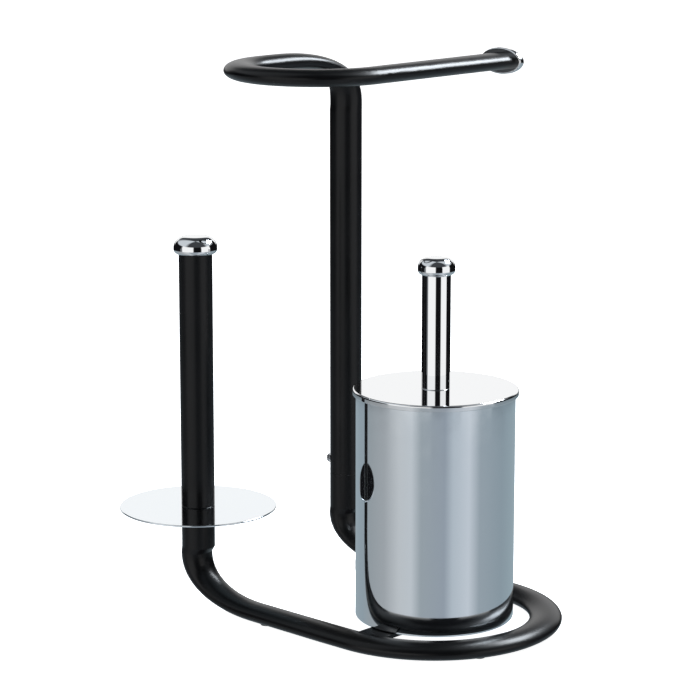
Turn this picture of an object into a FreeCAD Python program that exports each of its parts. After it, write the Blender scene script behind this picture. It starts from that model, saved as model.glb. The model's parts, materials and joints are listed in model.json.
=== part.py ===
import FreeCAD, Part
import math
import os

import Sketcher as Sketch

from FreeCAD import Placement, Rotation, Vector

# Freestanding toilet set: one bent tube frame carries an arm for the roll in use,
# a post with a tray disc for spare rolls and a lidded brush container in its foot loop.
# Millimetres, +Z up, floor at zero.  The long legs run along Y, the arm along X.

os.makedirs("parts", exist_ok=True)
doc = FreeCAD.newDocument("toilet_stand")
sheet = doc.addObject("Spreadsheet::Sheet", "dims")

# Plan positions below are measured from the centre of the foot loop's half circle.
SIZES = [
    # tube stock
    ("post_diameter", 28),
    ("tube_wall", 1.2),
    ("oval_thick", 14.5),
    ("end_bevel", 0.35),
    ("seam_gap", 0.3),
    ("neck_length", 5),
    # foot loop
    ("loop_radius", 95),
    ("loop_width", 27),
    ("leg_width", 26),
    ("left_leg", 178.6),
    ("right_leg", 185.6),
    ("left_bend_top", 47.4),
    ("right_bend_top", 43.5),
    ("foot_bend_run", 72),
    ("foot_outer_power", 2.12),
    ("foot_inner_power", 2.38),
    ("foot_neck", 4.1),
    ("leg_rise", 0.6),
    ("even_run", 30),
    ("pad_gap", 0.3),
    ("pad_diameter", 10),
    ("pad_thick", 3),
    ("pad_y", 98),
    ("pad_turn", 25),
    ("seat_gap", 0.05),
    # upright and arm
    ("seam_height", 80),
    ("arm_height", 452.5),
    ("arm_bend_low", 410),
    ("arm_bend_run", 90),
    ("arm_outer_power", 2.42),
    ("arm_inner_power", 3.66),
    ("arm_neck", 0.6),
    ("arm_turn_radius", 63.8),
    ("arm_turn_width", 26),
    ("arm_end_width", 33),
    ("arm_turn_x", -9),
    ("arm_end_x", 150.6),
    ("arm_cap_width", 44),
    ("arm_cap_height", 22.5),
    ("arm_cap_thick", 8.5),
    ("arm_cap_round", 5.2),
    ("arm_cap_back_round", 1.2),
    ("arm_plug_depth", 16),
    ("arm_plug_gap", 0.4),
    # sleeve joint in the upright
    ("spigot_low", 59),
    ("spigot_high", 112),
    ("spigot_wall", 2),
    ("slip_gap", 0.05),
    ("joint_screw_height", 93),
    ("joint_screw_turn", 135),
    ("joint_screw_radius", 2),
    ("joint_head_radius", 4),
    ("joint_head_high", 2.6),
    ("joint_head_edge", 0.9),
    ("joint_head_crown", 2.2),
    ("joint_head_seat", 0.25),
    ("joint_slot_half", 0.35),
    ("joint_slot_reach", 1.9),
    ("joint_slot_depth", 1.5),
    ("joint_screw_depth", 7),
    # spare roll post
    ("disc_top", 87.7),
    ("disc_thick", 1.5),
    ("disc_radius", 65.9),
    ("disc_edge", 0.6),
    ("post_top", 303),
    ("cap_radius", 18.2),
    ("cap_high", 14.5),
    ("cap_round", 9.5),
    ("cap_under_round", 3.8),
    ("cap_plug_depth", 12),
    ("lower_plug_depth", 24),
    ("upper_plug_high", 18),
    ("stud_radius", 4),
    ("stud_low", 64),
    ("stud_high", 102),
    # brush container
    ("jar_x", 1.5),
    ("jar_y", -2),
    ("jar_bottom", 8.8),
    ("jar_top", 197.6),
    ("jar_radius", 65.4),
    ("jar_wall", 0.8),
    ("jar_foot_round", 1.6),
    ("jar_inner_round", 1.2),
    ("strap_width", 26),
    ("strap_thick", 3),
    ("strap_half", 88),
    ("bolt_radius", 2.5),
    ("bolt_head_radius", 5),
    ("bolt_head_high", 2.4),
    ("bolt_head_round", 1.1),
    ("bolt_over", 0.6),
    ("nut_flats", 8),
    ("nut_high", 4),
    ("liner_gap", 0.4),
    ("liner_wall", 1.2),
    ("liner_floor", 13),
    ("liner_foot_round", 3),
    ("flange_under", 198),
    ("flange_radius", 65.3),
    # lid, handle and brush
    ("lid_top", 201),
    ("lid_thick", 1.5),
    ("lid_radius", 68),
    ("lid_skirt", 5),
    ("lid_skirt_wall", 1.6),
    ("lid_round", 1.1),
    ("lid_edge_round", 0.6),
    ("lid_hole_radius", 4.3),
    ("handle_radius", 11.8),
    ("handle_wall", 1),
    ("handle_foot_round", 0.6),
    ("handle_top", 295),
    ("knob_radius", 15.3),
    ("knob_high", 14),
    ("knob_round", 8.2),
    ("knob_under_round", 3.6),
    ("knob_plug_depth", 12),
    ("insert_high", 20),
    ("stem_radius", 5),
    ("stem_neck_radius", 4),
    ("stem_low", 60),
    ("stem_high", 217),
    ("lid_nut_flats", 13),
    ("lid_nut_high", 5),
    ("core_radius", 12),
    ("core_low", 21),
    ("core_high", 100),
    ("bristle_radius", 38),
    ("bristle_low", 18),
    ("bristle_high", 92),
    ("bristle_round", 16),
    ("bristle_top_round", 8.2),
]

# Sizes that follow from the ones above.
DERIVED = [
    ("post_radius", "post_diameter / 2"),
    ("bore_radius", "post_radius - tube_wall"),
    ("fit_radius", "bore_radius - slip_gap"),
    ("spigot_bore", "fit_radius - spigot_wall"),
    ("run_height", "pad_gap + oval_thick / 2"),
    ("disc_under", "disc_top - disc_thick"),
    ("lower_plug_low", "disc_under - lower_plug_depth"),
    ("upper_plug_top", "disc_top + upper_plug_high"),
    ("stud_bore", "stud_radius + slip_gap"),
    ("cap_top", "post_top + cap_high"),
    ("cap_plug_low", "post_top - cap_plug_depth"),
    ("arm_front_y", "right_leg - 2 * arm_turn_radius"),
    ("arm_cap_x", "arm_end_x + arm_cap_thick"),
    ("jar_inner", "jar_radius - jar_wall"),
    ("jar_floor", "jar_bottom + jar_wall"),
    ("bolt_bore", "bolt_radius + slip_gap"),
    ("bolt_head_top", "jar_floor + bolt_head_high"),
    ("strap_under", "jar_bottom - strap_thick"),
    ("nut_low", "strap_under - nut_high"),
    ("bolt_low", "nut_low - bolt_over"),
    ("liner_radius", "jar_inner - liner_gap"),
    ("liner_inner", "liner_radius - liner_wall"),
    ("liner_inside", "liner_floor + liner_wall"),
    ("flange_top", "flange_under + liner_wall"),
    ("lid_under", "lid_top - lid_thick"),
    ("lid_skirt_low", "lid_top - lid_skirt"),
    ("lid_skirt_inner", "lid_radius - lid_skirt_wall"),
    ("handle_bore", "handle_radius - handle_wall"),
    ("handle_fit", "handle_bore - slip_gap"),
    ("knob_top", "handle_top + knob_high"),
    ("knob_plug_low", "handle_top - knob_plug_depth"),
    ("insert_top", "lid_top + insert_high"),
    ("neck_bore", "stem_neck_radius + slip_gap"),
    ("lid_nut_low", "lid_under - lid_nut_high"),
    ("core_bore", "stem_radius + slip_gap"),
    ("core_fit", "core_radius + slip_gap"),
    ("spread_low_x", "-loop_radius - disc_radius"),
    ("spread_low_y", "-loop_radius - loop_width / 2"),
    ("spread_high_y", "left_leg + disc_radius"),
    ("shift_x", "-(spread_low_x + arm_cap_x) / 2"),
    ("shift_y", "-(spread_low_y + spread_high_y) / 2"),
    ("left_x", "shift_x - loop_radius"),
    ("left_y", "shift_y + left_leg"),
    ("right_x", "shift_x + loop_radius"),
    ("right_y", "shift_y + right_leg"),
    ("brush_x", "shift_x + jar_x"),
    ("brush_y", "shift_y + jar_y"),
    ("arm_end_place_x", "shift_x + arm_end_x"),
    ("arm_end_place_y", "shift_y + arm_front_y"),
]

row = 1
for alias, value in SIZES:
    sheet.set(f"A{row}", alias)
    sheet.set(f"B{row}", str(value))
    sheet.setAlias(f"B{row}", alias)
    row += 1
for alias, formula in DERIVED:
    sheet.set(f"A{row}", alias)
    sheet.set(f"B{row}", f"={formula}")
    sheet.setAlias(f"B{row}", alias)
    row += 1
doc.recompute()

SIZE = {alias: float(sheet.get(alias)) for alias, _ in SIZES + DERIVED}
nodes = []


def place(item, x="shift_x", y="shift_y", z=None):
    """Bind the item's position to named sizes."""
    item.setExpression(".Placement.Base.x", f"dims.{x}")
    item.setExpression(".Placement.Base.y", f"dims.{y}")
    if z:
        item.setExpression(".Placement.Base.z", f"dims.{z}")


def keep(item, name):
    item.Label = name
    nodes.append(item)
    return item


def new_body(name):
    return keep(doc.addObject("PartDesign::Body", name + "_body"), name)


def sketch_on(body, role, name):
    """A sketch on one of the body's own origin planes."""
    sketch = body.newObject("Sketcher::SketchObject", name)
    plane = [f for f in body.Origin.OriginFeatures if f.Role == role][0]
    sketch.AttachmentSupport = [(plane, "")]
    sketch.MapMode = "FlatFace"
    return sketch


def pin_point(sketch, line, end, across, up):
    """Tie one vertex to named sizes, or to an axis where the name is None."""
    if across:
        index = sketch.addConstraint(Sketch.Constraint("DistanceX", -1, 1, line, end, SIZE[across]))
        sketch.setExpression(f"Constraints[{index}]", f"dims.{across}")
    else:
        sketch.addConstraint(Sketch.Constraint("PointOnObject", line, end, -2))
    index = sketch.addConstraint(Sketch.Constraint("DistanceY", -1, 1, line, end, SIZE[up]))
    sketch.setExpression(f"Constraints[{index}]", f"dims.{up}")


def turned(name, corners, x, y):
    """Body turned about its own vertical axis from a closed profile of named corners."""
    body = new_body(name)
    sketch = sketch_on(body, "XZ_Plane", name + "_profile")
    points = [Vector(SIZE[a] if a else 0, SIZE[b], 0) for a, b in corners]
    count = len(points)
    for i in range(count):
        sketch.addGeometry(Part.LineSegment(points[i], points[(i + 1) % count]), False)
    for i in range(count):
        sketch.addConstraint(Sketch.Constraint("Coincident", i, 2, (i + 1) % count, 1))
    for i, (a, b) in enumerate(corners):
        pin_point(sketch, i, 1, a, b)
    turn = body.newObject("PartDesign::Revolution", name + "_turn")
    turn.Profile = sketch
    turn.ReferenceAxis = (sketch, ["V_Axis"])
    turn.Angle = 360
    place(body, x, y)
    doc.recompute()
    return body


def ring_edges(shape, radius, height, slack=0.02):
    """Names of the circular edges with this radius at this height."""
    found = []
    for i, edge in enumerate(shape.Edges):
        curve = edge.Curve
        if isinstance(curve, Part.Circle):
            if abs(curve.Radius - radius) < slack and abs(curve.Center.z - height) < slack:
                found.append(f"Edge{i + 1}")
    return found


def dress(body, kind, edges, size_name):
    """Fillet or chamfer the named edges of the body's tip by a named size."""
    if not edges:
        raise RuntimeError(f"{body.Label}: no edge for {size_name}")
    base = body.Tip
    feature = body.newObject(f"PartDesign::{kind}", f"{body.Label}_{size_name}")
    feature.Base = (base, edges)
    prop = "Radius" if kind == "Fillet" else "Size"
    setattr(feature, prop, SIZE[size_name])
    feature.setExpression(prop, f"dims.{size_name}")
    base.Visibility = False
    doc.recompute()
    return feature


def round_ring(body, radius, height, size_name, kind="Fillet"):
    shape = body.Tip.Shape
    dress(body, kind, ring_edges(shape, SIZE[radius], SIZE[height]), size_name)


def hexagon(body, name, flats, low, high, bore):
    """Hexagonal nut between two heights with a round bore."""
    sketch = sketch_on(body, "XY_Plane", name + "_flats")
    corner = SIZE[flats] / math.sqrt(3)
    points = [Vector(corner * math.cos(math.radians(60 * i)), corner * math.sin(math.radians(60 * i)), 0)
              for i in range(6)]
    for i in range(6):
        sketch.addGeometry(Part.LineSegment(points[i], points[(i + 1) % 6]), False)
    for i in range(6):
        sketch.addConstraint(Sketch.Constraint("Coincident", i, 2, (i + 1) % 6, 1))
    circle = sketch.addGeometry(Part.Circle(Vector(0, 0, 0), Vector(0, 0, 1), SIZE[bore]), False)
    sketch.addConstraint(Sketch.Constraint("Coincident", circle, 3, -1, 1))
    index = sketch.addConstraint(Sketch.Constraint("Radius", circle, SIZE[bore]))
    sketch.setExpression(f"Constraints[{index}]", f"dims.{bore}")
    sketch.AttachmentOffset = Placement(Vector(0, 0, SIZE[low]), Rotation())
    sketch.setExpression(".AttachmentOffset.Base.z", f"dims.{low}")
    pad = body.newObject("PartDesign::Pad", name + "_block")
    pad.Profile = sketch
    pad.Length = SIZE[high] - SIZE[low]
    pad.setExpression("Length", f"dims.{high} - dims.{low}")


# ---------------------------------------------------------------------------
# Bent tubes: short runs of skin through oval sections, outside and inside, sewn into
# one hollow solid.

def ease(value):
    value = max(0.0, min(1.0, value))
    return value * value * (3 - 2 * value)


def oval_edge(station, inset):
    """Oval section edge; its long side lies along the station's side direction."""
    centre, along, side, half_wide, half_thick = station
    wide = half_wide - inset
    thick = half_thick - inset
    if abs(wide - thick) < 0.001:
        curve = Part.Circle(Vector(0, 0, 0), EZ, thick)
    else:
        curve = Part.Ellipse(Vector(0, 0, 0), wide, thick)
    edge = curve.toShape()
    up = along.cross(side)
    edge.Placement = Placement(FreeCAD.Matrix(
        side.x, up.x, along.x, centre.x,
        side.y, up.y, along.y, centre.y,
        side.z, up.z, along.z, centre.z,
        0, 0, 0, 1))
    return edge


def oval_wire(station, inset):
    return Part.Wire(oval_edge(station, inset))


def skin(stations, inset):
    """Open skin through the oval sections; two sections give a ruled skin."""
    wires = [oval_wire(item, inset) for item in stations]
    return Part.makeLoft(wires, False, len(stations) == 2).Faces


def bend_part(sections):
    return lambda inset: skin(sections, inset)


def bend_skins(bend):
    """Neck of a flattening bend and the short pieces that follow it."""
    runs = [bend_part(bend[:2])]
    for first in range(1, BEND_STEPS, BEND_PART_STEPS):
        runs.append(bend_part(bend[first:first + BEND_PART_STEPS + 1]))
    return runs


def half_turn(station, pivot, inset):
    """Open skin swept by a section through half a turn about a vertical line."""
    return oval_edge(station, inset).revolve(pivot, EZ, 180).Faces


def tube_solid(runs, first, last):
    """Hollow tube from its runs; each run gives its skin for a wall inset."""
    faces = []
    for inset in (0, SIZE["tube_wall"]):
        for run in runs:
            faces += run(inset)
    for item in (first, last):
        ring = Part.Face(oval_wire(item, 0)).cut(Part.Face(oval_wire(item, SIZE["tube_wall"])))
        faces.append(ring.Faces[0])
    shell = Part.makeShell(faces)
    shell.sewShape()
    solid = Part.Solid(Part.Shell(shell.Faces))
    if solid.Volume < 0:
        solid.reverse()
    return solid


ROUND = SIZE["post_radius"]
HALF_THICK = SIZE["oval_thick"] / 2
EX = Vector(1, 0, 0)
EY = Vector(0, 1, 0)
EZ = Vector(0, 0, 1)
RIGHT_ANGLE = math.radians(90)
BEND_STEPS = 12
BEND_PART_STEPS = 3


def flattening_bend(start, stem, out, side, depth, bend, end_half):
    """Round end and sections of a right-angle bend that presses a round tube into a flat oval.

    The bend starts at a point on the post's axis, heading along the stem, and turns away
    from the outward direction.  Its outer and inner sides follow separate oval quarters.
    """
    run, outer_power, inner_power, neck = [SIZE[bend + part] for part in
                                           ("_bend_run", "_outer_power", "_inner_power", "_neck")]
    corner = start - out * run
    found = [(start - stem * SIZE["neck_length"], stem, side, ROUND, ROUND)]
    for i in range(BEND_STEPS + 1):
        share = ease(i / BEND_STEPS)
        across = max(0.0, math.cos(RIGHT_ANGLE * share))
        along = math.sin(RIGHT_ANGLE * share)
        outer = (out * ((run + ROUND) * across ** (2 / outer_power))
                 + stem * ((depth + HALF_THICK) * along ** (2 / outer_power)))
        inner = (out * ((run - ROUND + neck) * across ** (2 / inner_power))
                 + stem * ((depth - HALF_THICK) * along ** (2 / inner_power)))
        spoke = outer - inner
        half_thick = spoke.Length / 2
        spoke.normalize()
        heading = stem * spoke.dot(out) - out * spoke.dot(stem)
        half_wide = ROUND + (end_half - ROUND) * ease(share)
        found.append((corner + (outer + inner) * 0.5, heading, side, half_wide, half_thick))
    return found


def foot_side(sign, leg, bend_top, top):
    """Stub top, bend sections, taper end and loop end down one side of the foot."""
    low = SIZE["run_height"]
    x = sign * SIZE["loop_radius"]
    stub = (Vector(x, leg, top), -EZ, EX, ROUND, ROUND)
    depth = bend_top - low - SIZE["leg_rise"]
    bend_run = flattening_bend(Vector(x, leg, bend_top), -EZ, EY, EX, depth, "foot", SIZE["leg_width"] / 2)
    narrow = SIZE["loop_width"] / 2
    taper_end = (Vector(x, SIZE["even_run"], low), -EY, EX, narrow, HALF_THICK)
    loop_end = (Vector(x, 0, low), -EY, EX, narrow, HALF_THICK)
    return stub, bend_run, taper_end, loop_end


def side_runs(side):
    """Skins down one side of the foot."""
    stub, bend_run, taper_end, loop_end = side
    return [
        lambda inset: skin([stub, bend_run[0]], inset),
        *bend_skins(bend_run),
        lambda inset: skin([bend_run[-1], taper_end], inset),
        lambda inset: skin([taper_end, loop_end], inset),
    ]


left_side = foot_side(-1, SIZE["left_leg"], SIZE["left_bend_top"], SIZE["disc_under"])
right_side = foot_side(1, SIZE["right_leg"], SIZE["right_bend_top"], SIZE["seam_height"])
loop_run = [lambda inset: half_turn(left_side[3], Vector(0, 0, 0), inset)]
foot_runs = side_runs(left_side) + loop_run + side_runs(right_side)

screw_turn = math.radians(SIZE["joint_screw_turn"])
SCREW_DIRECTION = Vector(math.cos(screw_turn), math.sin(screw_turn), 0)


def screw_bore(radius, reach):
    """Cylinder along the joint screw's line, from the upright's axis outwards."""
    start = Vector(SIZE["loop_radius"], SIZE["right_leg"], SIZE["joint_screw_height"])
    return Part.makeCylinder(radius, reach, start, SCREW_DIRECTION)


foot_shape = tube_solid(foot_runs, left_side[0], right_side[0])
base_tube = keep(doc.addObject("Part::Feature", "base_tube_shape"), "base_tube")
base_tube.Shape = foot_shape
place(base_tube)

# Upright, top bend, rear run, half turn and front run of the arm.
arm_x = SIZE["loop_radius"]
arm_y = SIZE["right_leg"]
arm_z = SIZE["arm_height"]
turn_half = SIZE["arm_turn_width"] / 2
end_half = SIZE["arm_end_width"] / 2
turn_x = SIZE["arm_turn_x"]
front_y = SIZE["arm_front_y"]
arm_foot = (Vector(arm_x, arm_y, SIZE["seam_height"] + SIZE["seam_gap"]), EZ, EY, ROUND, ROUND)
arm_bend_start = Vector(arm_x, arm_y, SIZE["arm_bend_low"])
arm_top = flattening_bend(arm_bend_start, EZ, EX, EY, arm_z - SIZE["arm_bend_low"], "arm", turn_half)
turn_start = (Vector(turn_x, arm_y, arm_z), -EX, EY, turn_half, HALF_THICK)
turn_end = (Vector(turn_x, front_y, arm_z), EX, -EY, turn_half, HALF_THICK)
arm_finish = (Vector(SIZE["arm_end_x"], front_y, arm_z), EX, -EY, end_half, HALF_THICK)
turn_pivot = Vector(turn_x, arm_y - SIZE["arm_turn_radius"], 0)
arm_runs = [
    lambda inset: skin([arm_foot, arm_top[0]], inset),
    *bend_skins(arm_top),
    lambda inset: skin([arm_top[-1], turn_start], inset),
    lambda inset: half_turn(turn_start, turn_pivot, inset),
    lambda inset: skin([turn_end, arm_finish], inset),
]
arm_shape = tube_solid(arm_runs, arm_foot, arm_finish)
arm_shape = arm_shape.cut(screw_bore(SIZE["joint_screw_radius"] + SIZE["slip_gap"], SIZE["post_diameter"]))
upper_tube = keep(doc.addObject("Part::Feature", "upper_tube_shape"), "upper_tube")
upper_tube.Shape = arm_shape
place(upper_tube)

# ---------------------------------------------------------------------------
# Floor pads: short discs whose tops are cut to the underside of the tube.

def straight_bar(first, last, grow):
    """Solid bar between two oval sections, a little larger than the tube there."""
    return Part.makeLoft([oval_wire(first, -grow), oval_wire(last, -grow)], True, True)


def loop_bar(grow):
    """Half ring of the loop as a solid bar."""
    return Part.Face(oval_wire(left_side[3], -grow)).revolve(Vector(0, 0, 0), EZ, 180)


def pad_at(x, y, cutter):
    disc = Part.makeCylinder(SIZE["pad_diameter"] / 2, SIZE["pad_thick"], Vector(x, y, 0))
    return disc.cut(cutter)


seat = SIZE["seat_gap"]
loop_cutter = loop_bar(seat)
pads = []
for foot in (left_side, right_side):
    leg_cutter = straight_bar(foot[1][-1], foot[2], seat)
    pads.append(pad_at(foot[2][0].x, SIZE["pad_y"], leg_cutter))
for turn in (-90 - SIZE["pad_turn"], -90 + SIZE["pad_turn"]):
    across = SIZE["loop_radius"] * math.cos(math.radians(turn))
    along = SIZE["loop_radius"] * math.sin(math.radians(turn))
    pads.append(pad_at(across, along, loop_cutter))
foot_pads = keep(doc.addObject("Part::Feature", "foot_pads_shape"), "foot_pads")
foot_pads.Shape = Part.makeCompound(pads)
place(foot_pads)

# Strap across the loop, trimmed where it meets the tube, with a hole for the jar bolt.
strap_shape = Part.makeBox(
    2 * SIZE["strap_half"], SIZE["strap_width"], SIZE["strap_thick"],
    Vector(-SIZE["strap_half"], SIZE["jar_y"] - SIZE["strap_width"] / 2, SIZE["strap_under"]))
strap_shape = strap_shape.cut(loop_cutter)
for foot in (left_side, right_side):
    strap_shape = strap_shape.cut(straight_bar(foot[2], foot[3], seat))
strap_shape = max(strap_shape.Solids, key=lambda solid: solid.Volume)
strap_hole = Part.makeCylinder(SIZE["bolt_bore"], SIZE["jar_bottom"], Vector(SIZE["jar_x"], SIZE["jar_y"], 0))
container_strap = keep(doc.addObject("Part::Feature", "container_strap_shape"), "container_strap")
container_strap.Shape = strap_shape.cut(strap_hole)
place(container_strap)

# ---------------------------------------------------------------------------
# Sleeve joint in the upright.

spigot = turned("joint_spigot", [
    ("spigot_bore", "spigot_low"),
    ("fit_radius", "spigot_low"),
    ("fit_radius", "spigot_high"),
    ("spigot_bore", "spigot_high"),
], "right_x", "right_y")
bore_sketch = sketch_on(spigot, "YZ_Plane", "joint_spigot_bore")
bore_circle = bore_sketch.addGeometry(
    Part.Circle(Vector(0, SIZE["joint_screw_height"], 0), Vector(0, 0, 1), SIZE["joint_screw_radius"]), False)
bore_sketch.addConstraint(Sketch.Constraint("PointOnObject", bore_circle, 3, -2))
index = bore_sketch.addConstraint(
    Sketch.Constraint("DistanceY", -1, 1, bore_circle, 3, SIZE["joint_screw_height"]))
bore_sketch.setExpression(f"Constraints[{index}]", "dims.joint_screw_height")
index = bore_sketch.addConstraint(
    Sketch.Constraint("Radius", bore_circle, SIZE["joint_screw_radius"] + SIZE["slip_gap"]))
bore_sketch.setExpression(f"Constraints[{index}]", "dims.joint_screw_radius + dims.slip_gap")
doc.recompute()
before = spigot.Shape.Volume
bore_pocket = spigot.newObject("PartDesign::Pocket", "joint_spigot_hole")
bore_pocket.Profile = bore_sketch
bore_pocket.Type = 1
bore_pocket.Reversed = True
doc.recompute()
if not spigot.Shape.Volume < before - 1:
    raise RuntimeError("the spigot's screw hole is missing")
spigot.Placement = Placement(spigot.Placement.Base, Rotation(EZ, SIZE["joint_screw_turn"]))
spigot.setExpression(".Placement.Rotation.Angle", "dims.joint_screw_turn")

screw = new_body("joint_screw")
screw_sketch = sketch_on(screw, "XZ_Plane", "joint_screw_profile")
reach = SIZE["joint_screw_depth"]
head = SIZE["joint_head_high"]
shank = SIZE["joint_screw_radius"]
wide = SIZE["joint_head_radius"]
screw_points = [
    Vector(0, -reach, 0), Vector(shank, -reach, 0), Vector(shank, 0, 0),
    Vector(wide, 0, 0), Vector(wide, SIZE["joint_head_edge"], 0),
    Vector(SIZE["joint_head_crown"], head, 0), Vector(0, head, 0),
]
for i in range(len(screw_points)):
    after = screw_points[(i + 1) % len(screw_points)]
    screw_sketch.addGeometry(Part.LineSegment(screw_points[i], after), False)
for i in range(len(screw_points)):
    screw_sketch.addConstraint(Sketch.Constraint("Coincident", i, 2, (i + 1) % len(screw_points), 1))
screw_turned = screw.newObject("PartDesign::Revolution", "joint_screw_turn_feature")
screw_turned.Profile = screw_sketch
screw_turned.ReferenceAxis = (screw_sketch, ["V_Axis"])
screw_turned.Angle = 360
doc.recompute()
slot_sketch = sketch_on(screw, "XY_Plane", "joint_screw_slot")
slot_sketch.AttachmentOffset = Placement(Vector(0, 0, head), Rotation())
near = SIZE["joint_slot_half"]
far = SIZE["joint_slot_reach"]
cross = [
    Vector(near, near, 0), Vector(near, far, 0), Vector(-near, far, 0), Vector(-near, near, 0),
    Vector(-far, near, 0), Vector(-far, -near, 0), Vector(-near, -near, 0), Vector(-near, -far, 0),
    Vector(near, -far, 0), Vector(near, -near, 0), Vector(far, -near, 0), Vector(far, near, 0),
]
for i in range(len(cross)):
    slot_sketch.addGeometry(Part.LineSegment(cross[i], cross[(i + 1) % len(cross)]), False)
for i in range(len(cross)):
    slot_sketch.addConstraint(Sketch.Constraint("Coincident", i, 2, (i + 1) % len(cross), 1))
slot_pocket = screw.newObject("PartDesign::Pocket", "joint_screw_recess")
slot_pocket.Profile = slot_sketch
slot_pocket.Length = SIZE["joint_slot_depth"]
screw_line = Vector(SIZE["right_x"], SIZE["right_y"], SIZE["joint_screw_height"])
screw.Placement = Placement(
    screw_line + SCREW_DIRECTION * (ROUND + SIZE["joint_head_seat"]), Rotation(EZ, SCREW_DIRECTION))
doc.recompute()

# ---------------------------------------------------------------------------
# Spare roll post: plugged stub, tray disc, tube and mushroom cap on a common stud.

turned("lower_plug", [
    ("stud_bore", "lower_plug_low"),
    ("fit_radius", "lower_plug_low"),
    ("fit_radius", "disc_under"),
    ("stud_bore", "disc_under"),
], "left_x", "left_y")

disc = turned("roll_disc", [
    ("stud_bore", "disc_under"),
    ("disc_radius", "disc_under"),
    ("disc_radius", "disc_top"),
    ("stud_bore", "disc_top"),
], "left_x", "left_y")
round_ring(disc, "disc_radius", "disc_top", "disc_edge")
round_ring(disc, "disc_radius", "disc_under", "disc_edge")

post = turned("spare_post_tube", [
    ("bore_radius", "disc_top"),
    ("post_radius", "disc_top"),
    ("post_radius", "post_top"),
    ("bore_radius", "post_top"),
], "left_x", "left_y")
round_ring(post, "post_radius", "disc_top", "end_bevel", "Chamfer")
round_ring(post, "post_radius", "post_top", "end_bevel", "Chamfer")

turned("upper_plug", [
    ("stud_bore", "disc_top"),
    ("fit_radius", "disc_top"),
    ("fit_radius", "upper_plug_top"),
    ("stud_bore", "upper_plug_top"),
], "left_x", "left_y")

turned("post_stud", [
    (None, "stud_low"),
    ("stud_radius", "stud_low"),
    ("stud_radius", "stud_high"),
    (None, "stud_high"),
], "left_x", "left_y")

cap = turned("post_cap", [
    (None, "cap_plug_low"),
    ("fit_radius", "cap_plug_low"),
    ("fit_radius", "post_top"),
    ("cap_radius", "post_top"),
    ("cap_radius", "cap_top"),
    (None, "cap_top"),
], "left_x", "left_y")
round_ring(cap, "cap_radius", "cap_top", "cap_round")
round_ring(cap, "cap_radius", "post_top", "cap_under_round")

# Oval mushroom cap that closes the arm; its plug follows the tube's bore.
arm_cap = new_body("arm_end_cap")


def oval_pad(body, name, half_wide, half_thick, offset, length):
    """Pad an oval drawn across the arm, from an offset along the arm."""
    sketch = sketch_on(body, "YZ_Plane", name)
    sketch.AttachmentOffset = Placement(Vector(0, 0, offset), Rotation())
    oval = Part.Ellipse(Vector(0, 0, 0), half_wide, half_thick)
    sketch.addGeometry(oval, False)
    pad = body.newObject("PartDesign::Pad", name + "_pad")
    pad.Profile = sketch
    pad.Length = length
    doc.recompute()
    return pad


plug_deep = SIZE["arm_plug_depth"]
plug_half_wide = end_half - SIZE["tube_wall"] - SIZE["arm_plug_gap"]
plug_half_thick = HALF_THICK - SIZE["tube_wall"] - SIZE["slip_gap"]
oval_pad(arm_cap, "arm_plug", plug_half_wide, plug_half_thick, -plug_deep, plug_deep)
head_pad = oval_pad(arm_cap, "arm_cap_head", SIZE["arm_cap_width"] / 2, SIZE["arm_cap_height"] / 2, 0,
                    SIZE["arm_cap_thick"])
head_pad.setExpression("Length", "dims.arm_cap_thick")


def rim_edges(shape, x):
    """Names of the cap's outer edges lying across the arm at one place."""
    length_over = 2 * math.pi * plug_half_wide
    found = []
    for i, edge in enumerate(shape.Edges):
        points = edge.discretize(7)
        if all(abs(point.x - x) < 0.01 for point in points) and edge.Length > length_over:
            found.append(f"Edge{i + 1}")
    return found


dress(arm_cap, "Fillet", rim_edges(arm_cap.Tip.Shape, SIZE["arm_cap_thick"]), "arm_cap_round")
dress(arm_cap, "Fillet", rim_edges(arm_cap.Tip.Shape, 0), "arm_cap_back_round")
place(arm_cap, "arm_end_place_x", "arm_end_place_y", "arm_height")

# ---------------------------------------------------------------------------
# Brush container with its bolt and liner.

jar = turned("container_shell", [
    ("bolt_bore", "jar_bottom"),
    ("jar_radius", "jar_bottom"),
    ("jar_radius", "jar_top"),
    ("jar_inner", "jar_top"),
    ("jar_inner", "jar_floor"),
    ("bolt_bore", "jar_floor"),
], "brush_x", "brush_y")
round_ring(jar, "jar_inner", "jar_floor", "jar_inner_round")
round_ring(jar, "jar_radius", "jar_bottom", "jar_foot_round")

bolt = turned("container_bolt", [
    (None, "bolt_low"),
    ("bolt_radius", "bolt_low"),
    ("bolt_radius", "jar_floor"),
    ("bolt_head_radius", "jar_floor"),
    ("bolt_head_radius", "bolt_head_top"),
    (None, "bolt_head_top"),
], "brush_x", "brush_y")
round_ring(bolt, "bolt_head_radius", "bolt_head_top", "bolt_head_round")

nut = new_body("container_nut")
hexagon(nut, "container_nut", "nut_flats", "nut_low", "strap_under", "bolt_bore")
place(nut, "brush_x", "brush_y")

liner = turned("liner", [
    (None, "liner_floor"),
    ("liner_radius", "liner_floor"),
    ("liner_radius", "flange_under"),
    ("flange_radius", "flange_under"),
    ("flange_radius", "flange_top"),
    ("liner_inner", "flange_top"),
    ("liner_inner", "liner_inside"),
    (None, "liner_inside"),
], "brush_x", "brush_y")
round_ring(liner, "liner_inner", "liner_inside", "liner_foot_round")
round_ring(liner, "liner_radius", "liner_floor", "liner_foot_round")

# ---------------------------------------------------------------------------
# Lid, handle and brush.

lid = turned("lid", [
    ("lid_hole_radius", "lid_under"),
    ("lid_skirt_inner", "lid_under"),
    ("lid_skirt_inner", "lid_skirt_low"),
    ("lid_radius", "lid_skirt_low"),
    ("lid_radius", "lid_top"),
    ("lid_hole_radius", "lid_top"),
], "brush_x", "brush_y")
round_ring(lid, "lid_radius", "lid_top", "lid_round")
round_ring(lid, "lid_radius", "lid_skirt_low", "lid_edge_round")

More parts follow.
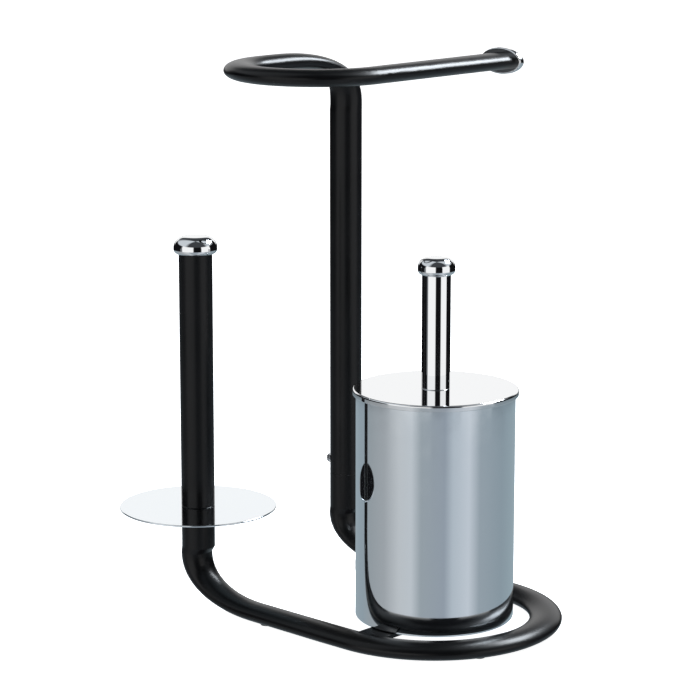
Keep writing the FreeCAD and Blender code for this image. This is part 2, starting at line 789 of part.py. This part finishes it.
handle = turned("handle_tube", [
    ("handle_bore", "lid_top"),
    ("handle_radius", "lid_top"),
    ("handle_radius", "handle_top"),
    ("handle_bore", "handle_top"),
], "brush_x", "brush_y")
round_ring(handle, "handle_radius", "lid_top", "handle_foot_round")
round_ring(handle, "handle_radius", "handle_top", "end_bevel", "Chamfer")

knob = turned("handle_knob", [
    (None, "knob_plug_low"),
    ("handle_fit", "knob_plug_low"),
    ("handle_fit", "handle_top"),
    ("knob_radius", "handle_top"),
    ("knob_radius", "knob_top"),
    (None, "knob_top"),
], "brush_x", "brush_y")
round_ring(knob, "knob_radius", "knob_top", "knob_round")
round_ring(knob, "knob_radius", "handle_top", "knob_under_round")

turned("handle_insert", [
    ("neck_bore", "lid_top"),
    ("handle_fit", "lid_top"),
    ("handle_fit", "insert_top"),
    ("neck_bore", "insert_top"),
], "brush_x", "brush_y")

turned("brush_stem", [
    (None, "stem_low"),
    ("stem_radius", "stem_low"),
    ("stem_radius", "lid_nut_low"),
    ("stem_neck_radius", "lid_nut_low"),
    ("stem_neck_radius", "stem_high"),
    (None, "stem_high"),
], "brush_x", "brush_y")

lid_nut = new_body("lid_nut")
hexagon(lid_nut, "lid_nut", "lid_nut_flats", "lid_nut_low", "lid_under", "neck_bore")
place(lid_nut, "brush_x", "brush_y")

core = turned("brush_core", [
    (None, "core_low"),
    ("core_radius", "core_low"),
    ("core_radius", "core_high"),
    ("core_bore", "core_high"),
    ("core_bore", "stem_low"),
    (None, "stem_low"),
], "brush_x", "brush_y")

bristles = turned("bristles", [
    (None, "bristle_low"),
    ("bristle_radius", "bristle_low"),
    ("bristle_radius", "bristle_high"),
    ("core_fit", "bristle_high"),
    ("core_fit", "core_low"),
    (None, "core_low"),
], "brush_x", "brush_y")
round_ring(bristles, "bristle_radius", "bristle_low", "bristle_round")
round_ring(bristles, "bristle_radius", "bristle_high", "bristle_top_round")

# ---------------------------------------------------------------------------
# Checks and one file for each piece.

doc.recompute()
for item in doc.Objects:
    if "Invalid" in item.State or "Error" in item.State:
        raise RuntimeError(f"{item.Name} did not recompute")
for item in nodes:
    shape = item.Shape
    if shape.isNull() or not shape.isValid() or shape.Volume <= 0:
        raise RuntimeError(f"{item.Label} has no valid shape")
    shape.exportStep(f"parts/{item.Label}.step")
    print(f"{item.Label}: {len(shape.Solids)} solids, {shape.Volume:.0f} mm3")
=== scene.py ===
"""Stand for toilet rolls and a toilet brush: looks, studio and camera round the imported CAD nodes."""

import json
import math
import random

import bmesh
import bpy
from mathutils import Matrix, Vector

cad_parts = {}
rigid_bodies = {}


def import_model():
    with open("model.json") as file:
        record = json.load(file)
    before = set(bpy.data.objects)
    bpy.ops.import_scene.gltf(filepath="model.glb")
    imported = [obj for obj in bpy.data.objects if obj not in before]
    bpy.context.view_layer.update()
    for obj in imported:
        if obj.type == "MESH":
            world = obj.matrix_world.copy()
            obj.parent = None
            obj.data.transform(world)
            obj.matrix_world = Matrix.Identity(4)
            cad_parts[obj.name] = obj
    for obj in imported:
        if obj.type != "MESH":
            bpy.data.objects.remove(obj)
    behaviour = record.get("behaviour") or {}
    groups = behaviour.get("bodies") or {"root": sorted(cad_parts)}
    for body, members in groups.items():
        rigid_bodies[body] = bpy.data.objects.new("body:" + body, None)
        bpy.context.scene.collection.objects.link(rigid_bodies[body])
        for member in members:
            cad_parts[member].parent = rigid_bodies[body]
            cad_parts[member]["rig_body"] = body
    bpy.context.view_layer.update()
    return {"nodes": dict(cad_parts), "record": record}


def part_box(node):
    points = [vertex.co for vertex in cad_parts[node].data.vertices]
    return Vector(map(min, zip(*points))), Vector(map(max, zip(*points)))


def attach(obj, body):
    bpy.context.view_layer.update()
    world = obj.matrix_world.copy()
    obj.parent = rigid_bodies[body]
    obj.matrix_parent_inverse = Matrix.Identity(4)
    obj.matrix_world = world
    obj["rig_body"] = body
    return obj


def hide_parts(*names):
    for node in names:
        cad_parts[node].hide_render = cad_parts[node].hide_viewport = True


MM = 0.001

# Distance from a rounding to the support points that keep the faces beside it flat.
SUPPORT = 0.12 * MM

# A point nearer the turning axis than this, in metres, lies on it.
AXIS = 1e-6

# Edges that turn by more than this stay sharp.
SHARP = math.radians(32)

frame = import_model()
nodes = frame["nodes"]


# ---------------------------------------------------------------------------
# Node helpers

def new_material(name, colour, metallic, roughness):
    """A principled material with its fixed values on the shader's own sockets."""
    material = bpy.data.materials.new(name)
    material.use_nodes = True
    shader = material.node_tree.nodes["Principled BSDF"]
    shader.inputs["Base Color"].default_value = (*colour, 1)
    shader.inputs["Metallic"].default_value = metallic
    shader.inputs["Roughness"].default_value = roughness
    return material, material.node_tree, shader


def object_noise(tree, scale, detail, stretch=(1, 1, 1)):
    """Noise fixed to the piece, in cycles per metre, stretched along the axes."""
    place = tree.nodes.new("ShaderNodeTexCoord")
    mapping = tree.nodes.new("ShaderNodeMapping")
    mapping.inputs["Scale"].default_value = stretch
    noise = tree.nodes.new("ShaderNodeTexNoise")
    noise.inputs["Scale"].default_value = scale
    noise.inputs["Detail"].default_value = detail
    tree.links.new(place.outputs["Object"], mapping.inputs["Vector"])
    tree.links.new(mapping.outputs["Vector"], noise.inputs["Vector"])
    return noise.outputs["Fac"]


def spread(tree, noise, low, high):
    """Map the middle of a noise's range to a range of values."""
    node = tree.nodes.new("ShaderNodeMapRange")
    node.inputs["From Min"].default_value = 0.3
    node.inputs["From Max"].default_value = 0.7
    node.inputs["To Min"].default_value = low
    node.inputs["To Max"].default_value = high
    tree.links.new(noise, node.inputs["Value"])
    return node.outputs["Result"]


def vary_roughness(tree, shader, noise, low, high):
    tree.links.new(spread(tree, noise, low, high), shader.inputs["Roughness"])


def vary_colour(tree, shader, noise, dark, light):
    """Blend the base colour between two tones."""
    mix = tree.nodes.new("ShaderNodeMix")
    mix.data_type = "RGBA"
    mix.inputs["A"].default_value = (*dark, 1)
    mix.inputs["B"].default_value = (*light, 1)
    tree.links.new(spread(tree, noise, 0, 1), mix.inputs["Factor"])
    tree.links.new(mix.outputs["Result"], shader.inputs["Base Color"])


def add_bump(tree, shader, height, strength, distance):
    bump = tree.nodes.new("ShaderNodeBump")
    bump.inputs["Strength"].default_value = strength
    bump.inputs["Distance"].default_value = distance
    tree.links.new(height, bump.inputs["Height"])
    tree.links.new(bump.outputs["Normal"], shader.inputs["Normal"])


# ---------------------------------------------------------------------------
# Materials

def powder_coat():
    """Satin black coat with a fine grain."""
    material, tree, shader = new_material("powder_coat_black", (0.004, 0.004, 0.0045), 0, 0.34)
    shader.inputs["Specular IOR Level"].default_value = 0.26
    broad = object_noise(tree, 22, 2)
    vary_roughness(tree, shader, broad, 0.28, 0.32)
    vary_colour(tree, shader, broad, (0.0022, 0.0022, 0.0026), (0.0034, 0.0034, 0.004))
    add_bump(tree, shader, object_noise(tree, 1400, 2), 0.06, 0.03 * MM)
    return material


def polished(name, colour, low, high):
    """Mirror finish with faint smears and hair scratches."""
    material, tree, shader = new_material(name, colour, 1, 0.04)
    vary_roughness(tree, shader, object_noise(tree, 60, 4), low, high)
    scratch = object_noise(tree, 500, 2, (1, 1, 0.05))
    add_bump(tree, shader, scratch, 0.02, 0.01 * MM)
    return material


def plated_steel():
    """Dull zinc plate for the fixings and the steel inside."""
    material, tree, shader = new_material("zinc_plate", (0.6, 0.6, 0.62), 1, 0.3)
    patch = object_noise(tree, 220, 3)
    vary_roughness(tree, shader, patch, 0.22, 0.42)
    vary_colour(tree, shader, patch, (0.52, 0.53, 0.56), (0.68, 0.68, 0.68))
    return material


def moulded(name, colour, roughness, grain_scale=900):
    """Moulded plastic or rubber with flow marks and a fine grain."""
    material, tree, shader = new_material(name, colour, 0, roughness)
    flow = object_noise(tree, 45, 3)
    darker = tuple(0.86 * part for part in colour)
    vary_colour(tree, shader, flow, darker, colour)
    vary_roughness(tree, shader, flow, roughness - 0.05, roughness + 0.06)
    add_bump(tree, shader, object_noise(tree, grain_scale, 2), 0.15, 0.05 * MM)
    return material


def bristle_nylon():
    """Milky nylon that lets a little light through."""
    material, tree, shader = new_material("bristle_nylon", (0.88, 0.9, 0.92), 0, 0.42)
    shader.inputs["Subsurface Weight"].default_value = 0.15
    shader.inputs["Subsurface Radius"].default_value = (2 * MM, 2 * MM, 2 * MM)
    streaks = object_noise(tree, 260, 2, (1, 1, 0.4))
    vary_colour(tree, shader, streaks, (0.74, 0.77, 0.8), (0.93, 0.94, 0.95))
    return material


BLACK = powder_coat()
CHROME = polished("chrome_plate", (0.88, 0.89, 0.9), 0.015, 0.05)
STEEL = polished("mirror_steel", (0.86, 0.9, 0.93), 0.03, 0.07)
ZINC = plated_steel()
NYLON = moulded("nylon_dark", (0.03, 0.03, 0.033), 0.5)
RUBBER = moulded("pad_rubber", (0.05, 0.05, 0.05), 0.75, 1500)
LINER = moulded("liner_plastic", (0.09, 0.09, 0.1), 0.42)
WHITE = moulded("brush_plastic", (0.82, 0.83, 0.83), 0.38)
BRISTLE = bristle_nylon()

FINISH = {
    "tube_black": BLACK,
    "chrome": CHROME,
    "mirror_steel": STEEL,
    "inner_steel": ZINC,
    "fixings": ZINC,
    "plug_plastic": NYLON,
    "pad_rubber": RUBBER,
    "liner_plastic": LINER,
    "brush_plastic": WHITE,
    "bristle": BRISTLE,
}
slot_of = {item["node"]: item["material_slot"] for item in frame["record"]["subparts"]}


def finish_cad_nodes():
    """Give each CAD node the finish of its slot, smooth except at its real edges."""
    for name, node in nodes.items():
        node.data.materials.clear()
        node.data.materials.append(FINISH[slot_of[name]])
        node.data.shade_smooth()
        node.data.set_sharp_from_angle(angle=SHARP)


# ---------------------------------------------------------------------------
# Mesh helpers

def middle(node):
    """Centre of a node's box, seen from above."""
    low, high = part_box(node)
    return (low.x + high.x) / 2, (low.y + high.y) / 2


def reach(node):
    """Outer radius of a turned node."""
    low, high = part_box(node)
    return min(high.x - low.x, high.y - low.y) / 2


def new_piece(name, data, material):
    data.materials.append(material)
    item = bpy.data.objects.new(name, data)
    bpy.context.scene.collection.objects.link(item)
    return item


def stand_for(item, node):
    """Let a piece ride on a node's body and replace the node."""
    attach(item, nodes[node]["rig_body"])
    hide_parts(node)


def rounded_corner(before, here, after, size, steps):
    """Arc of points that eases one outline corner."""
    if size <= 0:
        return [here]
    before = (before - here).normalized()
    after = (after - here).normalized()
    half = before.angle(after) / 2
    run = size / math.tan(half)
    centre = here + (before + after).normalized() * (size / math.sin(half))
    start = here + before * run - centre
    end = here + after * run - centre
    turn = math.copysign(math.pi - 2 * half, start.x * end.y - start.y * end.x)
    points = []
    for k in range(steps + 1):
        c = math.cos(turn * k / steps)
        s = math.sin(turn * k / steps)
        points.append(centre + Vector((start.x * c - start.y * s, start.x * s + start.y * c)))
    return points


def rounded(corners, steps):
    """Outline from (radius, height, rounding) corners, with support points beside each rounding."""
    count = len(corners)
    flat = [Vector(corner[:2]) for corner in corners]
    groups = []
    for i in range(count):
        after = flat[(i + 1) % count]
        groups.append(rounded_corner(flat[i - 1], flat[i], after, corners[i][2], steps))
    points = []
    for i, group in enumerate(groups):
        points.extend(group)
        following = groups[(i + 1) % count][0]
        gap = following - group[-1]
        on_axis = group[-1].x < AXIS and following.x < AXIS
        if gap.length > 3 * SUPPORT and not on_axis:
            points.append(group[-1] + gap.normalized() * SUPPORT)
            points.append(following - gap.normalized() * SUPPORT)
    return points


def ring_at(mesh, cx, cy, point, around):
    """Ring of vertices round the axis, or a single vertex for a point on it."""
    if point.x < AXIS:
        return [mesh.verts.new((cx, cy, point.y))]
    ring = []
    for k in range(around):
        angle = 2 * math.pi * k / around
        x = cx + point.x * math.cos(angle)
        y = cy + point.x * math.sin(angle)
        ring.append(mesh.verts.new((x, y, point.y)))
    return ring


def join_rings(mesh, a, b, around):
    """Band of faces between two rings, or a fan where one of them is a single vertex."""
    if len(a) == 1 and len(b) == 1:
        return
    for k in range(around):
        n = (k + 1) % around
        if len(a) == 1:
            mesh.faces.new((a[0], b[k], b[n]))
        elif len(b) == 1:
            mesh.faces.new((a[k], b[0], a[n]))
        else:
            mesh.faces.new((a[k], b[k], b[n], a[n]))


def lathe(name, corners, node, material, around, steps=8):
    """Closed turned piece about a node's axis; it stands for that node."""
    cx, cy = middle(node)
    mesh = bmesh.new()
    rings = [ring_at(mesh, cx, cy, point, around) for point in rounded(corners, steps)]
    for i, ring in enumerate(rings):
        join_rings(mesh, ring, rings[(i + 1) % len(rings)], around)
    bmesh.ops.recalc_face_normals(mesh, faces=mesh.faces)
    mesh.normal_update()
    data = bpy.data.meshes.new(name)
    mesh.to_mesh(data)
    mesh.free()
    data.shade_smooth()
    data.set_sharp_from_angle(angle=SHARP)
    stand_for(new_piece(name, data, material), node)


# ---------------------------------------------------------------------------
# Turned pieces

WIDE_AROUND = 224
SLIM_AROUND = 128

# Radii of the holes for the container bolt, the brush stem and the post stud.
BOLT_HOLE = 2.6 * MM
STEM_HOLE = 4.3 * MM
STUD_HOLE = 4.05 * MM


def jar_shell():
    """Brush container: thin cup with a rounded foot."""
    low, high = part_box("container_shell")
    r = reach("container_shell")
    wall = 0.8 * MM
    rim = 0.35 * MM
    lathe("container_shell_body", [
        (BOLT_HOLE, low.z, 0),
        (r, low.z, 1.6 * MM),
        (r, high.z, rim),
        (r - wall, high.z, rim),
        (r - wall, low.z + wall, 1.2 * MM),
        (BOLT_HOLE, low.z + wall, 0),
    ], "container_shell", STEEL, WIDE_AROUND)


def lid():
    """Lid plate with a rounded skirt."""
    low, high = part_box("lid")
    r = reach("lid")
    plate = 1.5 * MM
    skirt = 1.6 * MM
    lathe("lid_plate", [
        (STEM_HOLE, high.z - plate, 0),
        (r - skirt, high.z - plate, 0.4 * MM),
        (r - skirt, low.z, 0.3 * MM),
        (r, low.z, 0.6 * MM),
        (r, high.z, 1.5 * MM),
        (STEM_HOLE, high.z, 0),
    ], "lid", CHROME, WIDE_AROUND)


def tray_disc():
    """Disc under the spare rolls, with a rounded edge."""
    low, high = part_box("roll_disc")
    r = reach("roll_disc")
    edge = 0.55 * MM
    lathe("tray_disc", [
        (STUD_HOLE, low.z, 0),
        (r, low.z, edge),
        (r, high.z, edge),
        (STUD_HOLE, high.z, 0),
    ], "roll_disc", STEEL, WIDE_AROUND)


def plain_tube(name, node, material, wall, foot_round, top_round):
    low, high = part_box(node)
    r = reach(node)
    lathe(name, [
        (r - wall, low.z, 0),
        (r, low.z, foot_round),
        (r, high.z, top_round),
        (r - wall, high.z, 0),
    ], node, material, SLIM_AROUND)


def mushroom(name, node, tube, plug_radius, under, dome):
    """Chrome cap on a tube: domed top, rolled under edge and a plug inside the tube."""
    low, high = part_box(node)
    r = reach(node)
    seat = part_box(tube)[1].z
    lathe(name, [
        (0, low.z, 0),
        (plug_radius, low.z, 0.5 * MM),
        (plug_radius, seat, 0),
        (r, seat, under),
        (r, high.z, dome),
        (0, high.z, 0),
    ], node, CHROME, SLIM_AROUND, 16)


# ---------------------------------------------------------------------------
# Brush head

GROOVES = 3
GROOVE = 0.7 * MM
GROOVE_PITCH = 2 * MM
GROOVE_ROUND = 0.2 * MM
FIRST_GROOVE_DOWN = 8 * MM

TUFT_ROWS = 13
TUFTS_IN_ROW = 30
END_BEND = 16 * MM

# Rings on the rounded end: (degrees down from level, tufts in the ring).
END_TUFTS = ((24, 28), (46, 24), (68, 20))

STRANDS = 11
STRAND_LEVELS = 3
STRAND_RADIUS = 0.22 * MM
STRAND_SAG = 0.2 * MM
STRAND_TAPER = 0.45


def brush_head_core():
    """Moulded core with shallow rings above its bristles."""
    low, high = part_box("brush_core")
    r = reach("brush_core")
    corners = [(0, low.z, 0), (r, low.z, 3 * MM)]
    for k in range(GROOVES):
        level = high.z - (FIRST_GROOVE_DOWN - GROOVE_PITCH * k)
        corners.append((r, level, GROOVE_ROUND))
        corners.append((r - GROOVE, level, GROOVE_ROUND))
        corners.append((r - GROOVE, level + GROOVE, GROOVE_ROUND))
        corners.append((r, level + GROOVE, GROOVE_ROUND))
    corners.append((r, high.z, 1.2 * MM))
    corners.append((0, high.z, 0))
    lathe("brush_core_body", corners, "brush_core", WHITE, 96, 5)


def strand(points, faces, root, tip):
    """Thin three-sided tapering strand that bows slightly downwards."""
    run = tip - root
    side = run.cross(Vector((0, 0, 1)))
    side = side.normalized() if side.length > AXIS else Vector((1, 0, 0))
    over = side.cross(run).normalized()
    base = len(points)
    for i in range(STRAND_LEVELS + 1):
        share = i / STRAND_LEVELS
        centre = root + run * share - Vector((0, 0, STRAND_SAG * share * (1 - share)))
        size = STRAND_RADIUS * (1 - STRAND_TAPER * share)
        for k in range(3):
            angle = 2 * math.pi * k / 3
            points.append(centre + side * (size * math.cos(angle)) + over * (size * math.sin(angle)))
    for i in range(STRAND_LEVELS):
        for k in range(3):
            a = base + 3 * i + k
            b = base + 3 * i + (k + 1) % 3
            faces.append((a, b, b + 3, a + 3))
    last = base + 3 * STRAND_LEVELS
    faces.append((last, last + 1, last + 2))
    faces.append((base + 2, base + 1, base))


def tuft_plan(low_z, high_z, r, core):
    """Root and tip (radius, height) of every ring of tufts, with the tufts in each ring."""
    plan = []
    first = low_z + END_BEND
    rise = high_z - 4 * MM - first
    for k in range(TUFT_ROWS):
        z = first + rise * k / (TUFT_ROWS - 1)
        plan.append((core, z, r, z, TUFTS_IN_ROW))
    for tilt, count in END_TUFTS:
        angle = math.radians(tilt)
        tip_r = r - END_BEND + END_BEND * math.cos(angle)
        tip_z = first - END_BEND * math.sin(angle)
        plan.append((core, first - 4 * MM, tip_r, tip_z, count))
    plan.append((core * 0.7, low_z + 4 * MM, core * 1.25, low_z, 14))
    plan.append((core * 0.35, low_z + 4 * MM, core * 0.6, low_z, 8))
    return plan


def brush_bristles():
    """Tufts of nylon strands round the core and under its end."""
    low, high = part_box("bristles")
    cx, cy = middle("bristles")
    chance = random.Random(7)
    margin = 0.3 * MM
    lowest = low.z + margin
    highest = high.z - margin
    plan = tuft_plan(lowest, highest, reach("bristles") - margin, reach("brush_core"))
    points = []
    faces = []
    for ring, (root_r, root_z, tip_r, tip_z, count) in enumerate(plan):
        foot = root_r * 0.97
        for k in range(count):
            heading = 2 * math.pi * (k + 0.5 * (ring % 2)) / count
            for _ in range(STRANDS):
                spin = heading + chance.uniform(-0.05, 0.05)
                fan = heading + chance.uniform(-0.13, 0.13)
                cut = chance.uniform(0.95, 1.0)
                lift = chance.uniform(-1.4, 1.4) * MM
                end = root_r + (tip_r - root_r) * cut
                end_z = min(highest, max(lowest, tip_z + lift))
                root = Vector((cx + foot * math.cos(spin), cy + foot * math.sin(spin), root_z))
                tip = Vector((cx + end * math.cos(fan), cy + end * math.sin(fan), end_z))
                strand(points, faces, root, tip)
    data = bpy.data.meshes.new("bristle_tufts")
    data.from_pydata(points, [], faces)
    data.shade_smooth()
    stand_for(new_piece("bristle_tufts", data, BRISTLE), "bristles")


# ---------------------------------------------------------------------------
# Studio: plain floor, panels all round, one softbox and the camera

CAMERA_RIGHT = Vector((0.6833, -0.7302, 0))
TOWARDS_CAMERA = Vector((-0.7302, -0.6833, 0))

DARK = (0.006, 0.006, 0.007)
GREY = (0.16, 0.17, 0.18)
BRIGHT = (1.0, 1.0, 1.0)
PALE = (0.62, 0.66, 0.70)
DIM = (0.05, 0.054, 0.06)
SLATE = (0.33, 0.40, 0.44)

# Panels round the set: (degrees from the camera's side towards its right, colour).
LOW_PANELS = [
    (-180, SLATE), (-130, (0.30, 0.36, 0.40)), (-108, (0.33, 0.36, 0.38)), (-80, (0.38, 0.40, 0.42)),
    (-55, (0.55, 0.57, 0.59)), (-36, (0.56, 0.59, 0.62)), (-22, (0.34, 0.38, 0.41)),
    (12, (0.32, 0.36, 0.41)), (24, (0.48, 0.53, 0.58)), (48, (0.58, 0.62, 0.67)),
    (66, (0.33, 0.38, 0.42)), (110, (0.28, 0.34, 0.38)), (160, (0.32, 0.40, 0.44)), (180, SLATE),
]
LEVEL_PANELS = [
    (-180, DARK), (-84, DARK), (-80, GREY), (-72, GREY), (-68, BRIGHT), (-10, BRIGHT), (-5, DARK),
    (33, DARK), (37, BRIGHT), (84, BRIGHT), (87, DARK), (150, DARK), (180, DARK),
]
RAISED_PANELS = [
    (-180, BRIGHT), (-148, BRIGHT), (-140, DARK), (-80, DARK), (-74, GREY), (-68, BRIGHT),
    (-10, BRIGHT), (-5, DARK), (33, DARK), (37, BRIGHT), (84, BRIGHT), (87, DARK), (140, DARK),
    (148, BRIGHT), (180, BRIGHT),
]
CEILING_PANELS = [
    (-180, DIM), (-150, DIM), (-128, PALE), (-60, PALE), (-38, DIM), (60, DIM), (78, PALE),
    (118, PALE), (134, DIM), (180, DIM),
]


def dot(tree, direction, axis):
    node = tree.nodes.new("ShaderNodeVectorMath")
    node.operation = "DOT_PRODUCT"
    node.inputs[1].default_value = axis
    tree.links.new(direction, node.inputs[0])
    return node.outputs["Value"]


def compass(tree, direction):
    """Share of the turn round the set, one half towards the camera."""
    angle = tree.nodes.new("ShaderNodeMath")
    angle.operation = "ARCTAN2"
    tree.links.new(dot(tree, direction, CAMERA_RIGHT), angle.inputs[0])
    tree.links.new(dot(tree, direction, TOWARDS_CAMERA), angle.inputs[1])
    turn = tree.nodes.new("ShaderNodeMapRange")
    turn.inputs["From Min"].default_value = -math.pi
    turn.inputs["From Max"].default_value = math.pi
    tree.links.new(angle.outputs["Value"], turn.inputs["Value"])
    return turn.outputs["Result"]


def panels(tree, share, stops):
    """Colours round the set from a list of panels."""
    ramp = tree.nodes.new("ShaderNodeValToRGB")
    elements = ramp.color_ramp.elements
    elements.remove(elements[-1])
    for i, (degrees, colour) in enumerate(stops):
        position = (degrees + 180) / 360
        element = elements.new(position) if i else elements[0]
        element.color = (*colour, 1)
    tree.links.new(share, ramp.inputs["Fac"])
    return ramp.outputs["Color"]


def above(tree, rise, degrees, width):
    """Nought below an elevation and one above it, eased over a width in degrees."""
    node = tree.nodes.new("ShaderNodeMapRange")
    node.interpolation_type = "SMOOTHSTEP"
    node.inputs["From Min"].default_value = math.sin(math.radians(degrees - width / 2))
    node.inputs["From Max"].default_value = math.sin(math.radians(degrees + width / 2))
    tree.links.new(rise, node.inputs["Value"])
    return node.outputs["Result"]


def stack(tree, below, over, share_above):
    """Lay one ring of panels over another."""
    node = tree.nodes.new("ShaderNodeMix")
    node.data_type = "RGBA"
    tree.links.new(share_above, node.inputs["Factor"])
    tree.links.new(below, node.inputs["A"])
    tree.links.new(over, node.inputs["B"])
    return node.outputs["Result"]


def studio_world():
    """Bright panels with dark gaps, slate grey below them and a dim ceiling with pale panels."""
    world = bpy.data.worlds.new("studio")
    world.use_nodes = True
    tree = world.node_tree
    tree.nodes.clear()
    out = tree.nodes.new("ShaderNodeOutputWorld")
    background = tree.nodes.new("ShaderNodeBackground")
    place = tree.nodes.new("ShaderNodeTexCoord")
    split = tree.nodes.new("ShaderNodeSeparateXYZ")
    tree.links.new(place.outputs["Generated"], split.inputs["Vector"])
    rise = split.outputs["Z"]
    share = compass(tree, place.outputs["Generated"])
    colour = panels(tree, share, LOW_PANELS)
    colour = stack(tree, colour, panels(tree, share, LEVEL_PANELS), above(tree, rise, -12.8, 0.5))
    colour = stack(tree, colour, panels(tree, share, RAISED_PANELS), above(tree, rise, 2, 6))
    colour = stack(tree, colour, panels(tree, share, CEILING_PANELS), above(tree, rise, 24, 6))
    tree.links.new(colour, background.inputs["Color"])
    background.inputs["Strength"].default_value = 1.0
    tree.links.new(background.outputs["Background"], out.inputs["Surface"])
    bpy.context.scene.world = world


def white_floor():
    """Plain pale floor that shines evenly and stays out of the reflections."""
    size = 40
    corners = [(-size, -size, 0), (size, -size, 0), (size, size, 0), (-size, size, 0)]
    data = bpy.data.meshes.new("floor")
    data.from_pydata(corners, [], [(0, 1, 2, 3)])
    material, tree, shader = new_material("white_floor", (0.92, 0.92, 0.92), 0, 0.9)
    shader.inputs["Emission Color"].default_value = (1, 1, 1, 1)
    shader.inputs["Emission Strength"].default_value = 0.98
    floor = new_piece("floor", data, material)
    floor.visible_glossy = False


def softbox():
    """Cool softbox, high on the right, that draws the long streak on the roll arm."""
    place = Vector((1.35, -0.35, 1.65))
    aim = Vector((0, 0, 0.45))
    data = bpy.data.lights.new("softbox", "AREA")
    data.shape = "RECTANGLE"
    data.size = 1.2
    data.size_y = 0.6
    data.energy = 62
    data.color = (0.88, 0.94, 1.0)
    lamp = bpy.data.objects.new("softbox", data)
    lamp.location = place
    lamp.rotation_euler = (aim - place).to_track_quat("-Z", "Y").to_euler()
    bpy.context.scene.collection.objects.link(lamp)


def camera():
    data = bpy.data.cameras.new("camera")
    data.lens = 143.79
    data.sensor_width = 36
    data.clip_end = 200
    look = Vector((0.715011, 0.669119, -0.202581))
    item = bpy.data.objects.new("camera", data)
    item.location = Vector((-1.6366, -1.4985, 0.68893))
    item.rotation_mode = "QUATERNION"
    item.rotation_quaternion = look.to_track_quat("-Z", "Y")
    bpy.context.scene.collection.objects.link(item)
    bpy.context.scene.camera = item


# ---------------------------------------------------------------------------
# Build

finish_cad_nodes()
jar_shell()
lid()
brush_head_core()
brush_bristles()
tray_disc()
plain_tube("handle_grip", "handle_tube", CHROME, 1 * MM, 0.6 * MM, 0.3 * MM)
plain_tube("spare_post", "spare_post_tube", BLACK, 1.2 * MM, 0.8 * MM, 0.35 * MM)
mushroom("knob", "handle_knob", "handle_tube", 10.75 * MM, 3.6 * MM, 8.2 * MM)
mushroom("post_cap_dome", "post_cap", "spare_post_tube", 12.7 * MM, 3.8 * MM, 9.5 * MM)

studio_world()
white_floor()
softbox()
camera()
bpy.context.scene.view_settings.view_transform = "Standard"
